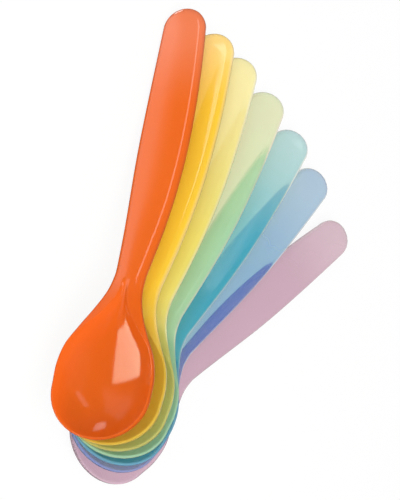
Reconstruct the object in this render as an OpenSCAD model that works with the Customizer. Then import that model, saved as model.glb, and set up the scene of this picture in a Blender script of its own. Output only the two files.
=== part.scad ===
// A set of seven baby spoons, nested bowl in bowl and fanned out on a table.
// Every spoon is the same one-piece moulding. The set lies on its left edges: the
// lowest bowl and the handle ends are down at the table, at z = 0. The top spoon's
// handle runs along -X and its bowl opens towards -Y. The origin is the middle of
// the set's box, at the table.

/* [Spoon] */
// Length of one spoon, from the front of the bowl to the end of the handle
spoon_length = 140; // [125:1:150]
// Width of the bowl over its rim
bowl_width = 32; // [29:0.5:35]
// From the widest place of the bowl to its front
bowl_front = 14; // [12.5:0.5:16]
// Depth of the hollow at the middle of the bowl
bowl_depth = 5.5; // [5:0.1:6]
// Thickness of the bottom of the bowl
bowl_wall = 1.3; // [1.1:0.1:1.5]

/* [Handle] */
// Width of the neck
neck_width = 10.3; // [9:0.1:12]
// From the widest place of the bowl to the neck
neck_reach = 36.3; // [34:0.1:39]
// Greatest width of the handle
handle_width = 17.1; // [15:0.1:18.5]
// From the widest place of the bowl to the widest place of the handle
handle_reach = 85; // [75:1:95]
// Width of the handle where its round end starts
end_width = 14.9; // [12:0.1:15]
// Thickness of the handle at the neck
neck_thickness = 3.3; // [2.8:0.1:3.5]
// Thickness of the handle at its end
end_thickness = 3.2; // [2.4:0.1:3.6]
// How far the end of the handle stands over the rim of the bowl
end_rise = 2.9; // [1:0.1:4]

/* [Nest] */
// Free height between one neck and the next, square to the rim
nest_gap = 2.1; // [2:0.1:3]
// The same height between the two lowest spoons
first_gap = 3.3; // [3.2:0.1:4]
// Sideways step from one bowl to the next
side_step = 1.4; // [1:0.1:1.6]
// The same step between the two lowest bowls
first_side = 4; // [3.5:0.1:4.2]

/* [Hidden] */

// Flat land on top of the rim, from the hollow to the outside
rim_land = 1.3;
// Rounding of the upper edge, all round the spoon
edge_round = 0.6;
// Height of the upright edge of the bowl
bowl_edge = 1.2;
// Height of the upright edge of the handle, as a share of its thickness
edge_share = 0.75;
// Crown of the handle's upper face over its edges
handle_crown = 0.35;
// How full the bowl's cross-section is: 2 is a parabola, more is flatter below
bowl_fullness = 2.3;
// The same for the handle's underside
handle_fullness = 5;
// How fast the hollow and the underside run out towards the neck
run_out = 1.4;

// Way from the neck's half width to the bowl's, at even steps from bowl to neck
shoulder_shares = [1, 1, 0.86, 0.55, 0.26, 0.06, 0];
// Height of the upper face over the rim, at even steps from bowl to handle end
rise_shares = [0, 0.6, -0.25, -0.9, -0.9, -0.55, 0.1, 1];
// Swell of the handle from the neck to its widest place
swell_power = 1.1;
// End of the hollow and of the bowl's underside, past the neck
hollow_share = 0.96;
under_share = 1.15;
// Where the bowl's section starts to change into the handle's, and how far it takes
blend_start_share = 0.4;
blend_share = 0.7;
// Places of the upper face's rings, as shares of the way to the hollow's edge
top_shares = [0, 0.35, 0.62, 0.84, 1];
// Places of the underside's rings, as shares of the way to the outline
low_shares = [0.94, 0.8, 0.58, 0.3, 0];

// How each spoon lies: turned in the fan, tipped up at the handle, rolled over
fan_angles = [0, 8.5, 15.5, 22.5, 29, 33, 37.5];
tip_angles = [-0.5, -3.3, -5.4, -7, -8.1, -8.9, -9.4];
roll_angles = [-18.5, -29, -37, -45, -53, -60.5, -67.5];

// Steps of the rings: round the bowl's front, along the spoon, round the end
front_steps = 9;
long_steps = 24;
end_steps = 7;

nest_step = neck_thickness + nest_gap;
first_step = neck_thickness + first_gap;
end_radius = end_width / 2;
handle_end = spoon_length - bowl_front;
end_centre = handle_end - end_radius;
rings = front_steps + long_steps + end_steps;

// Smooth curve through evenly spaced values, with u from 0 to 1
function value(list, i) = list[max(0, min(len(list) - 1, i))];
function spline(list, u) =
    let (
        s = max(0, min(1, u)) * (len(list) - 1),
        i = min(len(list) - 2, floor(s)),
        f = s - i,
        a = value(list, i - 1),
        b = value(list, i),
        c = value(list, i + 1),
        d = value(list, i + 2)
    )
    b + f / 2 * (c - a + f * (2 * a - 5 * b + 4 * c - d + f * (3 * (b - c) + d - a)));

function ease(u) = let (v = max(0, min(1, u))) v * v * (3 - 2 * v);

// Half width of the spoon at x, between the bowl's widest place and the end's arc
function half_width(x) =
    x < neck_reach
        ? neck_width / 2 + (bowl_width - neck_width) / 2 * spline(shoulder_shares, x / neck_reach)
    : x < handle_reach
        ? neck_width / 2 + (handle_width - neck_width) / 2
            * pow(sin(90 * (x - neck_reach) / (handle_reach - neck_reach)), swell_power)
    : handle_width / 2 - (handle_width - end_width) / 2
        * pow((x - handle_reach) / (end_centre - handle_reach), 2);

// Height of the upper face's edge at x
function rise(x) = end_rise * spline(rise_shares, x / handle_end);

// Run from the bowl's middle to the neck: 1 in the bowl, 0 past its end
function bowl_run(x, end) = pow(max(0, 1 - pow(max(0, x) / end, 2)), run_out);
function hollow(x) = bowl_depth * bowl_run(x, neck_reach * hollow_share);
function thickness(x) = neck_thickness + (end_thickness - neck_thickness) * max(0, x) / handle_end;
function under(x) =
    thickness(x) + (bowl_depth + bowl_wall - thickness(x)) * bowl_run(x, neck_reach * under_share);

// 0 in the bowl, 1 in the handle
function handle_part(x) = ease((x / neck_reach - blend_start_share) / blend_share);
function edge_height(x) =
    bowl_edge + (thickness(x) * edge_share - bowl_edge) * handle_part(x);

// Middle line point of a ring, and the outline point it runs to
function ring_foot(i) =
    i <= front_steps ? 0
    : i >= front_steps + long_steps ? end_centre
    : end_centre * (i - front_steps) / long_steps;
function ring_end(i) =
    i < front_steps
        ? let (a = 90 * i / front_steps) [-bowl_front * cos(a), bowl_width / 2 * sin(a)]
    : i > front_steps + long_steps
        ? let (a = 90 * (rings - i) / end_steps) [end_centre + end_radius * cos(a), end_radius * sin(a)]
    : [ring_foot(i), half_width(ring_foot(i))];

// Point of a ring at a share of its way out, lowered by drop
function ring_point(i, share, drop) =
    let (
        foot = ring_foot(i),
        tip = ring_end(i),
        x = foot + (tip[0] - foot) * share
    )
    [x, tip[1] * share, rise(x) - drop];

// One ring, from the middle of the upper face round the edge to the middle below
function ring(i) =
    let (
        foot = ring_foot(i),
        reach = norm(ring_end(i) - [foot, 0]),
        inner = 1 - rim_land / reach,
        part = handle_part(foot),
        full = bowl_fullness + (handle_fullness - bowl_fullness) * part,
        edge = edge_height(foot)
    )
    concat(
        [for (s = top_shares)
            ring_point(i, inner * s, (hollow(foot) - handle_crown * part) * (1 - pow(s, full)))],
        [for (a = [0, 45, 90])
            ring_point(i, 1 - edge_round / reach * (1 - sin(a)), edge_round * (1 - cos(a)))],
        [ring_point(i, 1, edge)],
        [for (s = low_shares)
            ring_point(i, s, edge + (under(foot) - edge) * (1 - pow(s, full)))]
    );

ring_size = len(top_shares) + len(low_shares) + 4;

// Place of a point in the list: the two middle lines and both ends are shared
function foot_ring(i) = max(front_steps, min(front_steps + long_steps, i));
function at(i, j, side) =
    j == 0 || j == ring_size - 1 ? foot_ring(i) * ring_size + j
    : i == 0 || i == rings ? i * ring_size + j
    : (side * (rings + 1) + i) * ring_size + j;

function flat(list) = [for (row = list) each row];
function facet(a, b, c) = a == b || b == c || c == a ? [] : [[a, b, c]];
function side_faces(side) = flat([for (i = [0 : rings - 1], j = [0 : ring_size - 2])
    let (
        a = at(i, j, side),
        b = at(i + 1, j, side),
        c = at(i + 1, j + 1, side),
        d = at(i, j + 1, side)
    )
    side == 0
        ? concat(facet(a, c, b), facet(a, d, c))
        : concat(facet(a, b, c), facet(a, c, d))]);

left_points = flat([for (i = [0 : rings]) ring(i)]);
right_points = [for (p = left_points) [p[0], -p[1], p[2]]];
spoon_points = concat(left_points, right_points);

module spoon() {
    polyhedron(points = spoon_points, faces = concat(side_faces(0), side_faces(1)));
}

// Rows of the matrix that turns a spoon to its place in the fan
last = len(fan_angles) - 1;
function turn(k) =
    let (
        a = 180 + fan_angles[k] - fan_angles[last],
        b = -tip_angles[k],
        c = roll_angles[k]
    )
    [[cos(a) * cos(b), cos(a) * sin(b) * sin(c) - sin(a) * cos(c), cos(a) * sin(b) * cos(c) + sin(a) * sin(c)],
     [sin(a) * cos(b), sin(a) * sin(b) * sin(c) + cos(a) * cos(c), sin(a) * sin(b) * cos(c) - cos(a) * sin(c)],
     [-sin(b), cos(b) * sin(c), cos(b) * cos(c)]];

// Middle of each bowl's rim, measured in the bowl below: aside and up
function step_to(k) = k == 1 ? [0, first_side, first_step] : [0, side_step, nest_step];
function centre(k) = k == 0 ? [0, 0, 0] : centre(k - 1) + turn(k - 1) * step_to(k);

// The set's box, and its bottom middle, which is the origin
set_points = flat([for (k = [0 : last])
    let (m = turn(k), c = centre(k)) [for (p = spoon_points) m * p + c]]);
low_corner = [for (a = [0 : 2]) min([for (p = set_points) p[a]])];
high_corner = [for (a = [0 : 2]) max([for (p = set_points) p[a]])];
origin = [(low_corner[0] + high_corner[0]) / 2, (low_corner[1] + high_corner[1]) / 2, low_corner[2]];

module place(k) {
    m = turn(k);
    c = centre(k) - origin;
    multmatrix([concat(m[0], [c[0]]), concat(m[1], [c[1]]), concat(m[2], [c[2]])]) spoon();
}

module spoon_lavender() { color("thistle") place(0); }
module spoon_blue() { color("lightsteelblue") place(1); }
module spoon_aqua() { color("powderblue") place(2); }
module spoon_green() { color("palegreen") place(3); }
module spoon_yellow() { color("khaki") place(4); }
module spoon_amber() { color("gold") place(5); }
module spoon_orange() { color("orangered") place(6); }

spoon_lavender();
spoon_blue();
spoon_aqua();
spoon_green();
spoon_yellow();
spoon_amber();
spoon_orange();
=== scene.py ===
"""Seven translucent baby spoons, nested and fanned out on a white table."""

import math
from collections import namedtuple

import bpy
import numpy as np
from mathutils import Matrix


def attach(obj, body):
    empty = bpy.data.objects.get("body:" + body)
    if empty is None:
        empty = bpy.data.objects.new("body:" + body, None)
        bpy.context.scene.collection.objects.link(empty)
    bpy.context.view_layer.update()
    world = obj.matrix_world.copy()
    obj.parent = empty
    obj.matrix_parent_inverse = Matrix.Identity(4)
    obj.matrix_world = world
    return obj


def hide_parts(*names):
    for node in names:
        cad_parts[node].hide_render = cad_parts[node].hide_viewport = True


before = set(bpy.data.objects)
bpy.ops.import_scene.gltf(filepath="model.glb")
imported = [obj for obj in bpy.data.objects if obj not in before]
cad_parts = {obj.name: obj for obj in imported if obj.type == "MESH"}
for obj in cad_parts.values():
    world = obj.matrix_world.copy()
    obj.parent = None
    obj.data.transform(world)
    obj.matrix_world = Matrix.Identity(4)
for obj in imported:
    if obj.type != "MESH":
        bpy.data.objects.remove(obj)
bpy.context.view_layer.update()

# Everything is written in millimetres and built in metres
MM = 0.001

# One spoon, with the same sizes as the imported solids
SPOON_LENGTH = 140
BOWL_WIDTH = 32
BOWL_FRONT = 14
BOWL_DEPTH = 5.5
BOWL_WALL = 1.3
BOWL_EDGE = 1.2
BOWL_FULLNESS = 2.3
NECK_WIDTH = 10.3
NECK_REACH = 36.3
NECK_THICKNESS = 3.3
HANDLE_WIDTH = 17.1
HANDLE_REACH = 85
HANDLE_FULLNESS = 5
END_WIDTH = 14.9
END_THICKNESS = 3.2
END_RISE = 2.9
EDGE_SHARE = 0.75
RUN_OUT = 1.4
UNDER_SHARE = 1.15
SWELL_POWER = 1.1
BLEND_START_SHARE = 0.4
BLEND_SHARE = 0.7
SHOULDER_SHARES = (1, 1, 0.86, 0.55, 0.26, 0.06, 0)
RISE_SHARES = (0, 0.6, -0.25, -0.9, -0.9, -0.55, 0.1, 1)
END_RADIUS = END_WIDTH / 2
HANDLE_END = SPOON_LENGTH - BOWL_FRONT
END_CENTRE = HANDLE_END - END_RADIUS

# Upper edge, softer than on the solids: how wide it is, and how far it rounds in and down
BOWL_RIM = 0.6
BOWL_ROUND_IN = 0.4
BOWL_ROUND_DOWN = 0.35
HANDLE_RIM = 2.85
HANDLE_ROUND_IN = 2.8
HANDLE_ROUND_DOWN = 1.7

# Wider edge at the shoulders: how much wider, where most, how far it runs and how fast it fades
SHOULDER_RIM = 2.5
SHOULDER_AT = 26.5
SHOULDER_SPREAD = 13
SHOULDER_POWER = 1.5

# End of the hollow as a share of the way to the neck, and the crown of the handle's upper face
HOLLOW_SHARE = 0.95
HANDLE_CROWN = 0.12
CROWN_FULLNESS = 2.5

# Places before and behind over which the height of the upper face is evened out
RISE_SPREAD = (-5, -3, -1, 1, 3, 5)

# The outline keeps this far inside the outline of the solids
TRIM = 0.2

# How far in from the outline the painted highlight along the edge reaches
BOWL_PAINTED_EDGE_REACH = 1.4
HANDLE_PAINTED_EDGE_REACH = 0.9

# Rings round the bowl's front, along the spoon and round the handle's end
FRONT_STEPS = 30
LONG_STEPS = 130
END_STEPS = 22

# Points of a ring: on the upper face and the underside as shares of the way out, and round the edge
TOP_SHARES = (0, 0.12, 0.24, 0.36, 0.47, 0.57, 0.66, 0.74, 0.81, 0.87, 0.92, 0.96, 0.985, 1)
LOW_SHARES = (1, 0.985, 0.96, 0.92, 0.86, 0.78, 0.68, 0.56, 0.42, 0.28, 0.14, 0)
ROUND_STEPS = 9

# The fan: each spoon's turn, tip and roll, and the steps from bowl to bowl
COLOURS = ("lavender", "blue", "aqua", "green", "yellow", "amber", "orange")
FAN_ANGLES = (0, 8.5, 15.5, 22.5, 29, 33, 37.5)
TIP_ANGLES = (-0.5, -3.3, -5.4, -7, -8.1, -8.9, -9.4)
ROLL_ANGLES = (-18.5, -29, -37, -45, -53, -60.5, -67.5)
NEST_GAP = 2.1
FIRST_GAP = 3.3
SIDE_STEP = 1.4
FIRST_SIDE = 4

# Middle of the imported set's box at the table, measured from the lowest bowl's middle
ORIGIN = (-60.380, 22.943, -8.072)

# Each plastic: what it scatters and lets through, the shares let through, the painted lightening towards
# the handle's end (how much, from where, to where) and the painted highlight along the edge
Plastic = namedtuple(
    "Plastic", "scattered through handle_share bowl_share pale_end pale_from pale_to pale_line")
PLASTICS = {
    "lavender": Plastic((0.48, 0.33, 0.40), (0.75, 0.49, 0.59), 0.6, 0.62, 0.15, 0.72, 0.96, 0.3),
    "blue": Plastic((0.01, 0.11, 0.64), (0.66, 0.95, 0.60), 0.47, 0.5, 0.2, 0.6, 0.96, 0.55),
    "aqua": Plastic((0.005, 0.38, 0.69), (0.54, 0.76, 0.31), 0.43, 0.48, 0.33, 0.6, 0.98, 0.6),
    "green": Plastic((0.50, 0.95, 0.56), (1.00, 0.55, 0.39), 0.5, 0.55, 0.07, 0.72, 0.96, 0.5),
    "yellow": Plastic((0.80, 0.67, 0.12), (0.80, 0.98, 0.72), 0.15, 0.55, 0.28, 0.4, 1, 0.25),
    "amber": Plastic((0.92, 0.59, 0.035), (0.95, 0.80, 0.44), 0.15, 0.45, 0.17, 0.78, 0.99, 0.15),
    "orange": Plastic((0.71, 0.12, 0.01), (0.95, 0.08, 0.005), 0.05, 0.25, 0.07, 0.72, 0.96, 0),
}

# Colour of the painted light: the lighter end and the highlight along the edge
PAINTED_LIGHT_COLOUR = (1, 0.97, 0.9)

# Gloss of the bowl beside the handle's full gloss
BOWL_GLOSS = 0.3

# Where the handle's share and gloss turn into the bowl's, with 1 at the handle's end
HANDLE_SHARE_FROM = 0.3
BOWL_SHARE_TO = 0.15
HANDLE_GLOSS_FROM = 0.29
BOWL_GLOSS_TO = 0.2

# The plastic's body, and the clear gloss on it
BODY_ROUGHNESS = 0.2
BODY_IOR = 1.12
COAT_ROUGHNESS = 0.1
COAT_IOR = 1.55

# Faint waves of the moulded surface
WAVE_SCALE = 60
WAVE_DETAIL = 2
WAVE_STRENGTH = 0.04
WAVE_DEPTH = 0.5

# Faint clouds in the milky plastic
CLOUD_SCALE = 45
CLOUD_DETAIL = 3
CLOUD_DEPTH = 0.08

# Colour sockets of a Mix node
MIX_FIRST = 6
MIX_SECOND = 7
MIX_RESULT = 2

# The floor: half its side, its surface, and how far it shows plain white to the camera
FLOOR_HALF = 3000
FLOOR_COLOUR = (0.92, 0.92, 0.92, 1)
FLOOR_ROUGHNESS = 0.9
FLOOR_SPECULAR = 0.1
FLOOR_WHITE_SHARE = 0.9

# The world's light from all round, and its level to the camera and through the plastic
WORLD_COLOUR = (1, 1, 1, 1)
WORLD_LIGHT = 0.45
WORLD_SEEN = 1

# What reflections show: a dim room and a white table, whose borders run from dark to light
ROOM_LIGHT = 0.1
TABLE_WHITE = 1.2
TABLE_SLANT = -0.59
TABLE_FAR = (0.08, 0)
TABLE_NEAR = (-0.85, -0.65)
TABLE_SIDE = (0.1, -0.05)
TABLE_END = (-0.55, -0.45)

# Each lamp: place, size and lean in degrees, radiance, and whether it only shows as a highlight
Lamp = namedtuple("Lamp", "azimuth elevation width height radiance shines lean colour")
WHITE = (1, 1, 1)
LAMPS = {
    "key": Lamp(40, 60, 40, 40, 4.2, False, 0, WHITE),
    "front": Lamp(5, 42, 30, 30, 3.2, False, 0, WHITE),
    "edge": Lamp(-22, 24, 8, 32, 3, True, -33, WHITE),
    "bowl": Lamp(19.5, -24, 12, 43, 16, True, 16, (0.85, 1, 0.8)),
    "spot": Lamp(-55, -30, 17, 11, 6, True, 40, WHITE),
    "tip": Lamp(-72, 45, 7, 7, 1.4, True, 0, WHITE),
}

# Distance of the lamps, and the point in the set that they look at
LAMP_DISTANCE = 1000
LAMP_TARGET = (0, 0, 20)

# The camera looks at a point on the table and is turned from -Y, raised and rolled by degrees
CAMERA_TARGET = (-7.9, -5.9, 0)
CAMERA_AZIMUTH = 15.2
CAMERA_ELEVATION = 46.6
CAMERA_ROLL = 97.6
CAMERA_DISTANCE = 356.4
CAMERA_LENS = 49.88
CAMERA_CLIP = 10
SENSOR_HEIGHT = 24


def spline(values, u):
    """Smooth curve through evenly spaced values, with u from 0 to 1."""
    values = np.asarray(values, float)
    last = len(values) - 1
    s = np.clip(u, 0, 1) * last
    i = np.clip(np.floor(s).astype(int), 0, last - 1)
    f = s - i
    ends = np.concatenate([values[:1], values, values[-1:]])
    a, b, c, d = ends[i], ends[i + 1], ends[i + 2], ends[i + 3]
    return b + f / 2 * (c - a + f * (2 * a - 5 * b + 4 * c - d + f * (3 * (b - c) + d - a)))


def half_width(x):
    """Half width of the spoon, between the bowl's widest place and the end's arc."""
    neck = NECK_WIDTH / 2
    bowl = neck + (BOWL_WIDTH - NECK_WIDTH) / 2 * spline(SHOULDER_SHARES, x / NECK_REACH)
    along = np.clip((x - NECK_REACH) / (HANDLE_REACH - NECK_REACH), 0, 1)
    swell = neck + (HANDLE_WIDTH - NECK_WIDTH) / 2 * np.sin(math.pi / 2 * along) ** SWELL_POWER
    past = np.clip((x - HANDLE_REACH) / (END_CENTRE - HANDLE_REACH), 0, None)
    end = HANDLE_WIDTH / 2 - (HANDLE_WIDTH - END_WIDTH) / 2 * past ** 2
    return np.where(x < NECK_REACH, bowl, np.where(x < HANDLE_REACH, swell, end))


def rise(x):
    """Height of the upper face's edge over the rim of the bowl."""
    heights = [spline(RISE_SHARES, (x + d) / HANDLE_END) for d in RISE_SPREAD]
    return END_RISE * sum(heights) / len(heights)


def bowl_run(x, end):
    """1 in the middle of the bowl, 0 past its end."""
    return np.clip(1 - (np.clip(x, 0, None) / end) ** 2, 0, None) ** RUN_OUT


def hollow(x):
    """Depth of the hollow on the middle line."""
    return BOWL_DEPTH * bowl_run(x, NECK_REACH * HOLLOW_SHARE)


def thickness(x):
    """Thickness of the handle, also where the bowl grows out of it."""
    return NECK_THICKNESS + (END_THICKNESS - NECK_THICKNESS) * np.clip(x, 0, None) / HANDLE_END


def under(x):
    """Depth of the underside on the middle line."""
    deeper = BOWL_DEPTH + BOWL_WALL - thickness(x)
    return thickness(x) + deeper * bowl_run(x, NECK_REACH * UNDER_SHARE)


def handle_part(x):
    """0 in the bowl, 1 in the handle."""
    v = np.clip((x / NECK_REACH - BLEND_START_SHARE) / BLEND_SHARE, 0, 1)
    return v * v * (3 - 2 * v)


def shoulder_part(x):
    """1 where the rim is widest, 0 in the bowl and in the handle."""
    return np.clip(1 - ((x - SHOULDER_AT) / SHOULDER_SPREAD) ** 2, 0, None) ** SHOULDER_POWER


def blend(bowl, handle, part):
    """The bowl's value turning into the handle's."""
    return bowl + (handle - bowl) * part


def ring_lines():
    """Foot on the middle line and end on the outline of every ring, bowl front to handle end."""
    front = np.linspace(0, math.pi / 2, FRONT_STEPS + 1)[:-1]
    along = np.linspace(0, END_CENTRE, LONG_STEPS + 1)
    end = np.linspace(math.pi / 2, 0, END_STEPS + 1)[1:]
    foot = np.concatenate([np.zeros(FRONT_STEPS), along, np.full(END_STEPS, END_CENTRE)])
    end_x = np.concatenate([-BOWL_FRONT * np.cos(front), along, END_CENTRE + END_RADIUS * np.cos(end)])
    end_y = np.concatenate([BOWL_WIDTH / 2 * np.sin(front), half_width(along), END_RADIUS * np.sin(end)])
    return foot, end_x, end_y


def spoon_rings():
    """One side of the spoon: x, y, z and the way in, as a share of the painted edge highlight's reach.
    """
    foot, end_x, end_y = (v[:, None] for v in ring_lines())
    reach = np.hypot(end_x - foot, end_y)
    part = handle_part(foot)
    wider = SHOULDER_RIM * shoulder_part(foot)
    rim = blend(BOWL_RIM, HANDLE_RIM, part) + wider
    round_in = blend(BOWL_ROUND_IN, HANDLE_ROUND_IN, part) + wider
    round_down = blend(BOWL_ROUND_DOWN, HANDLE_ROUND_DOWN, part)
    painted_edge_reach = blend(BOWL_PAINTED_EDGE_REACH, HANDLE_PAINTED_EDGE_REACH, part)
    inner = 1 - rim / reach
    crown = HANDLE_CROWN * part * (reach - rim) / (HANDLE_WIDTH / 2 - HANDLE_RIM)
    edge = blend(BOWL_EDGE, thickness(foot) * EDGE_SHARE, part)
    full = blend(BOWL_FULLNESS, HANDLE_FULLNESS, part)

    def points(share, drop):
        """Points at a share of the way out, lowered by a drop."""
        x = foot + (end_x - foot) * share * (1 - TRIM / reach)
        y = end_y * share * (1 - TRIM / reach)
        inward = reach * (1 - share) / painted_edge_reach
        return np.stack([x, y, rise(x) - drop, inward], -1)

    rows = []
    for t in TOP_SHARES:
        dip = hollow(foot) * (1 - t ** BOWL_FULLNESS) ** (1 + part)
        rows.append(points(inner * t, dip - crown * (1 - t ** CROWN_FULLNESS)))
    for a in np.linspace(0, math.pi / 2, ROUND_STEPS + 1):
        rows.append(points(1 - round_in / reach * (1 - math.sin(a)), round_down * (1 - math.cos(a))))
    rows.append(points(1, (edge + round_down) / 2))
    for t in LOW_SHARES:
        rows.append(points(t, edge + (under(foot) - edge) * (1 - t ** full)))
    return np.concatenate(rows, 1)


def point_numbers(rings, size):
    """Number of every place on both sides, and the places that have a point of their own."""
    first = FRONT_STEPS
    last = FRONT_STEPS + LONG_STEPS
    numbers = np.zeros((2, rings, size), int)
    owners = []
    for side in (0, 1):
        for i in range(rings):
            for j in range(size):
                on_middle = j in (0, size - 1)
                if on_middle and i != min(max(i, first), last):
                    continue
                if side and (on_middle or i in (0, rings - 1)):
                    numbers[side, i, j] = numbers[0, i, j]
                else:
                    numbers[side, i, j] = len(owners)
                    owners.append((side, i, j))
    for j in (0, size - 1):
        numbers[:, :first, j] = numbers[0, first, j]
        numbers[:, last + 1:, j] = numbers[0, last, j]
    return numbers, owners


def spoon_faces(numbers):
    """Faces between neighbouring rings, without the corners that fall together."""
    faces = []
    for side, sheet in enumerate(numbers.tolist()):
        for row, beside in zip(sheet, sheet[1:]):
            for j in range(len(row) - 1):
                loop = [row[j], beside[j], beside[j + 1], row[j + 1]]
                if side:
                    loop.reverse()
                face = [p for n, p in enumerate(loop) if p != loop[n - 1]]
                if len(face) > 2:
                    faces.append(face)
    return faces


def spoon_mesh(name):
    """One closed spoon, with its two sides sharing the middle lines and both ends."""
    rows = spoon_rings()
    numbers, owners = point_numbers(*rows.shape[:2])
    points = []
    inwards = []
    for side, i, j in owners:
        x, y, z, inward = rows[i, j]
        points.append((x, -y if side else y, z))
        inwards.append(inward)
    mesh = bpy.data.meshes.new(name)
    mesh.from_pydata(points, [], spoon_faces(numbers))
    mesh.polygons.foreach_set("use_smooth", [True] * len(mesh.polygons))
    along = mesh.attributes.new("along", "FLOAT", "POINT")
    along.data.foreach_set("value", [x / HANDLE_END for x, _, _ in points])
    # The rim attribute is the mask of the painted highlight along the edge
    rim = mesh.attributes.new("rim", "FLOAT", "POINT")
    rim.data.foreach_set("value", inwards)
    mesh.update()
    return mesh


def turn(k):
    """Turn of a spoon in the fan, tipped at the handle and rolled on its edge."""
    fan = Matrix.Rotation(math.radians(180 + FAN_ANGLES[k] - FAN_ANGLES[-1]), 3, "Z")
    tip = Matrix.Rotation(math.radians(-TIP_ANGLES[k]), 3, "Y")
    roll = Matrix.Rotation(math.radians(ROLL_ANGLES[k]), 3, "X")
    return np.array(fan @ tip @ roll)


def centres():
    """Middle of each bowl's rim, one step from the bowl below."""
    first_step = np.array((0, FIRST_SIDE, NECK_THICKNESS + FIRST_GAP))
    next_step = np.array((0, SIDE_STEP, NECK_THICKNESS + NEST_GAP))
    places = [np.zeros(3)]
    for k in range(1, len(COLOURS)):
        step = first_step if k == 1 else next_step
        places.append(places[-1] + turn(k - 1) @ step)
    return places


def make_spoons():
    """The seven spoons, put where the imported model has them."""
    shape = spoon_mesh("spoon")
    flat = np.array([v.co for v in shape.vertices])
    spoons = {}
    for k, (colour, place) in enumerate(zip(COLOURS, centres())):
        mesh = shape.copy()
        mesh.name = "look_" + colour
        placed = flat @ turn(k).T + place - ORIGIN
        mesh.vertices.foreach_set("co", (placed * MM).ravel())
        mesh.update()
        spoon = bpy.data.objects.new("look_" + colour, mesh)
        bpy.context.scene.collection.objects.link(spoon)
        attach(spoon, colour)
        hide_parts("spoon_" + colour)
        spoons[colour] = spoon
    return spoons


def feed(tree, socket, value):
    """Link another socket to a socket, or set a plain number on it."""
    if isinstance(value, bpy.types.NodeSocket):
        tree.links.new(value, socket)
    else:
        socket.default_value = value


def combine(tree, operation, first, second):
    """Socket with two values added, multiplied or compared."""
    node = tree.nodes.new("ShaderNodeMath")
    node.operation = operation
    feed(tree, node.inputs[0], first)
    feed(tree, node.inputs[1], second)
    return node.outputs["Value"]


def ramp(tree, value, start, end, low, high, curve="SMOOTHSTEP"):
    """Socket that runs from low to high while the value runs from start to end."""
    node = tree.nodes.new("ShaderNodeMapRange")
    node.interpolation_type = curve
    feed(tree, node.inputs["Value"], value)
    feed(tree, node.inputs["From Min"], start)
    feed(tree, node.inputs["From Max"], end)
    feed(tree, node.inputs["To Min"], low)
    feed(tree, node.inputs["To Max"], high)
    return node.outputs["Result"]


def attribute(tree, name):
    """Socket with a value that the mesh carries."""
    node = tree.nodes.new("ShaderNodeAttribute")
    node.attribute_name = name
    return node.outputs["Fac"]


def noise(tree, place, scale, detail):
    """Socket with a noise pattern."""
    node = tree.nodes.new("ShaderNodeTexNoise")
    node.inputs["Scale"].default_value = scale
    node.inputs["Detail"].default_value = detail
    tree.links.new(place, node.inputs["Vector"])
    return node.outputs["Fac"]


def waves(tree, place):
    """Socket with the normals of a faintly wavy surface."""
    node = tree.nodes.new("ShaderNodeBump")
    node.inputs["Strength"].default_value = WAVE_STRENGTH
    node.inputs["Distance"].default_value = WAVE_DEPTH * MM
    tree.links.new(noise(tree, place, WAVE_SCALE, WAVE_DETAIL), node.inputs["Height"])
    return node.outputs["Normal"]


def mix_shaders(tree, share, first, second):
    """Lead a mix of two shaders to the material's surface."""
    mix = tree.nodes.new("ShaderNodeMixShader")
    tree.links.new(share, mix.inputs["Fac"])
    tree.links.new(first, mix.inputs[1])
    tree.links.new(second, mix.inputs[2])
    tree.links.new(mix.outputs["Shader"], tree.nodes["Material Output"].inputs["Surface"])


def coated(tree, shader, colour, transmission, painted_light, gloss, normal):
    """Socket of a shader with a coat, milky or clear, whose colour turns paler where light is painted
    on.
    """
    mix = tree.nodes.new("ShaderNodeMix")
    mix.data_type = "RGBA"
    tree.links.new(painted_light, mix.inputs["Factor"])
    mix.inputs[MIX_FIRST].default_value = (*colour, 1)
    mix.inputs[MIX_SECOND].default_value = (*PAINTED_LIGHT_COLOUR, 1)
    tree.links.new(mix.outputs[MIX_RESULT], shader.inputs["Base Color"])
    shader.inputs["Transmission Weight"].default_value = transmission
    shader.inputs["Roughness"].default_value = BODY_ROUGHNESS
    shader.inputs["IOR"].default_value = BODY_IOR
    shader.inputs["Coat Roughness"].default_value = COAT_ROUGHNESS
    shader.inputs["Coat IOR"].default_value = COAT_IOR
    tree.links.new(gloss, shader.inputs["Coat Weight"])
    tree.links.new(normal, shader.inputs["Normal"])
    tree.links.new(normal, shader.inputs["Coat Normal"])
    return shader.outputs["BSDF"]


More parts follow.
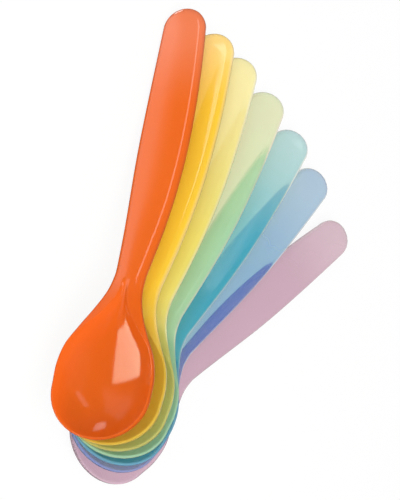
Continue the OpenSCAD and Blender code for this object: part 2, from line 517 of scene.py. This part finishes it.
def plastic(colour):
    """Glossy, milky plastic that scatters part of the light and lets the rest through."""
    look = PLASTICS[colour]
    material = bpy.data.materials.new("plastic_" + colour)
    material.use_nodes = True
    tree = material.node_tree
    place = tree.nodes.new("ShaderNodeTexCoord").outputs["Object"]
    normal = waves(tree, place)
    along = attribute(tree, "along")
    # Painted light: the colour turns paler towards the handle's end
    end = ramp(tree, along, look.pale_from, look.pale_to, 0, look.pale_end)
    # Painted highlight along the edge, weakened below where the gloss is less
    painted_edge = ramp(tree, attribute(tree, "rim"), 0, 1, look.pale_line, 0)
    gloss = ramp(tree, along, BOWL_GLOSS_TO, HANDLE_GLOSS_FROM, BOWL_GLOSS, 1)
    painted_light = combine(tree, "ADD", end, combine(tree, "MULTIPLY", painted_edge, gloss))
    new_shader = tree.nodes.new("ShaderNodeBsdfPrincipled")
    milky = coated(tree, new_shader, look.scattered, 0, painted_light, gloss, normal)
    clear = coated(tree, tree.nodes["Principled BSDF"], look.through, 1, painted_light, gloss, normal)
    share = ramp(tree, along, BOWL_SHARE_TO, HANDLE_SHARE_FROM, look.bowl_share, look.handle_share)
    cloud = noise(tree, place, CLOUD_SCALE, CLOUD_DETAIL)
    uneven = ramp(tree, cloud, 0, 1, -CLOUD_DEPTH, CLOUD_DEPTH, "LINEAR")
    inside = tree.nodes.new("ShaderNodeNewGeometry").outputs["Backfacing"]
    share = combine(tree, "MAXIMUM", combine(tree, "ADD", share, uneven), inside)
    mix_shaders(tree, share, milky, clear)
    return material


def seen_or_through(tree, path):
    """Socket that is 1 for the camera and for what shows through the plastic."""
    return combine(tree, "MAXIMUM", path.outputs["Is Camera Ray"], path.outputs["Is Transmission Ray"])


def make_floor():
    """White table that keeps the set's shadow."""
    high = FLOOR_HALF * MM
    low = -high
    mesh = bpy.data.meshes.new("floor")
    corners = [(low, low, 0), (high, low, 0), (high, high, 0), (low, high, 0)]
    mesh.from_pydata(corners, [], [(0, 1, 2, 3)])
    floor = bpy.data.objects.new("floor", mesh)
    bpy.context.scene.collection.objects.link(floor)
    material = bpy.data.materials.new("white_table")
    material.use_nodes = True
    tree = material.node_tree
    shader = tree.nodes["Principled BSDF"]
    shader.inputs["Base Color"].default_value = FLOOR_COLOUR
    shader.inputs["Roughness"].default_value = FLOOR_ROUGHNESS
    shader.inputs["Specular IOR Level"].default_value = FLOOR_SPECULAR
    white = tree.nodes.new("ShaderNodeEmission")
    seen = seen_or_through(tree, tree.nodes.new("ShaderNodeLightPath"))
    share = combine(tree, "MULTIPLY", seen, FLOOR_WHITE_SHARE)
    mix_shaders(tree, share, shader.outputs["BSDF"], white.outputs["Emission"])
    mesh.materials.append(material)
    floor.visible_glossy = False


def make_world():
    """Soft light from all round; reflections show a white table low down and a dim room above."""
    world = bpy.data.worlds.new("studio")
    bpy.context.scene.world = world
    world.use_nodes = True
    tree = world.node_tree
    path = tree.nodes.new("ShaderNodeLightPath")
    place = tree.nodes.new("ShaderNodeTexCoord")
    parts = tree.nodes.new("ShaderNodeSeparateXYZ")
    tree.links.new(place.outputs["Generated"], parts.inputs["Vector"])
    level = parts.outputs["Z"]
    aside = parts.outputs["X"]
    slanted = combine(tree, "ADD", level, combine(tree, "MULTIPLY", aside, TABLE_SLANT))
    mirrored = path.outputs["Is Glossy Ray"]
    table = combine(tree, "MULTIPLY", mirrored, TABLE_WHITE)
    borders = ((slanted, TABLE_FAR), (level, TABLE_NEAR), (aside, TABLE_SIDE), (aside, TABLE_END))
    for measure, (dark, light) in borders:
        table = combine(tree, "MULTIPLY", table, ramp(tree, measure, dark, light, 0, 1))
    room = combine(tree, "MULTIPLY", mirrored, ROOM_LIGHT - WORLD_LIGHT)
    backdrop = combine(tree, "MULTIPLY", seen_or_through(tree, path), WORLD_SEEN - WORLD_LIGHT)
    strength = WORLD_LIGHT
    for more in (room, table, backdrop):
        strength = combine(tree, "ADD", strength, more)
    background = tree.nodes["Background"]
    background.inputs["Color"].default_value = WORLD_COLOUR
    tree.links.new(strength, background.inputs["Strength"])


def direction(azimuth, elevation):
    """Way out from the set, turned from -Y and raised, both in degrees."""
    a = math.radians(azimuth)
    e = math.radians(elevation)
    return np.array((math.sin(a) * math.cos(e), -math.cos(a) * math.cos(e), math.sin(e)))


def look_from(place, target, roll):
    """Matrix that puts a lamp or camera at a place, looking at a target and rolled, in metres."""
    back = place - target
    back /= np.linalg.norm(back)
    right = np.cross((0, 0, 1), back)
    right /= np.linalg.norm(right)
    up = np.cross(back, right)
    a = math.radians(roll)
    right, up = right * math.cos(a) + up * math.sin(a), up * math.cos(a) - right * math.sin(a)
    matrix = Matrix.Identity(4)
    for row in range(3):
        matrix[row] = (right[row], up[row], back[row], place[row])
    return matrix


def make_lamp(name, lamp):
    """Soft rectangular lamp, either one that lights or one that only shows as a highlight."""
    data = bpy.data.lights.new(name, "AREA")
    data.shape = "RECTANGLE"
    distance = LAMP_DISTANCE * MM
    data.size = 2 * distance * math.tan(math.radians(lamp.width / 2))
    data.size_y = 2 * distance * math.tan(math.radians(lamp.height / 2))
    data.energy = lamp.radiance * data.size * data.size_y * math.pi
    data.color = lamp.colour
    source = bpy.data.objects.new(name, data)
    bpy.context.scene.collection.objects.link(source)
    place = distance * direction(lamp.azimuth, lamp.elevation)
    source.matrix_world = look_from(place, np.array(LAMP_TARGET) * MM, lamp.lean)
    source.visible_camera = False
    source.visible_transmission = False
    source.visible_glossy = lamp.shines
    source.visible_diffuse = not lamp.shines


def make_camera():
    """Camera at the photo's viewing angle."""
    target = np.array(CAMERA_TARGET)
    place = target + CAMERA_DISTANCE * direction(CAMERA_AZIMUTH, CAMERA_ELEVATION)
    data = bpy.data.cameras.new("camera")
    data.sensor_fit = "VERTICAL"
    data.sensor_height = SENSOR_HEIGHT
    data.lens = CAMERA_LENS
    data.clip_start = CAMERA_CLIP * MM
    camera = bpy.data.objects.new("camera", data)
    bpy.context.scene.collection.objects.link(camera)
    camera.matrix_world = look_from(place * MM, target * MM, CAMERA_ROLL)
    bpy.context.scene.camera = camera


spoons = make_spoons()
for colour, spoon in spoons.items():
    spoon.data.materials.append(plastic(colour))
make_floor()
make_world()
for name, lamp in LAMPS.items():
    make_lamp(name, lamp)
make_camera()
bpy.context.scene.view_settings.view_transform = "Standard"
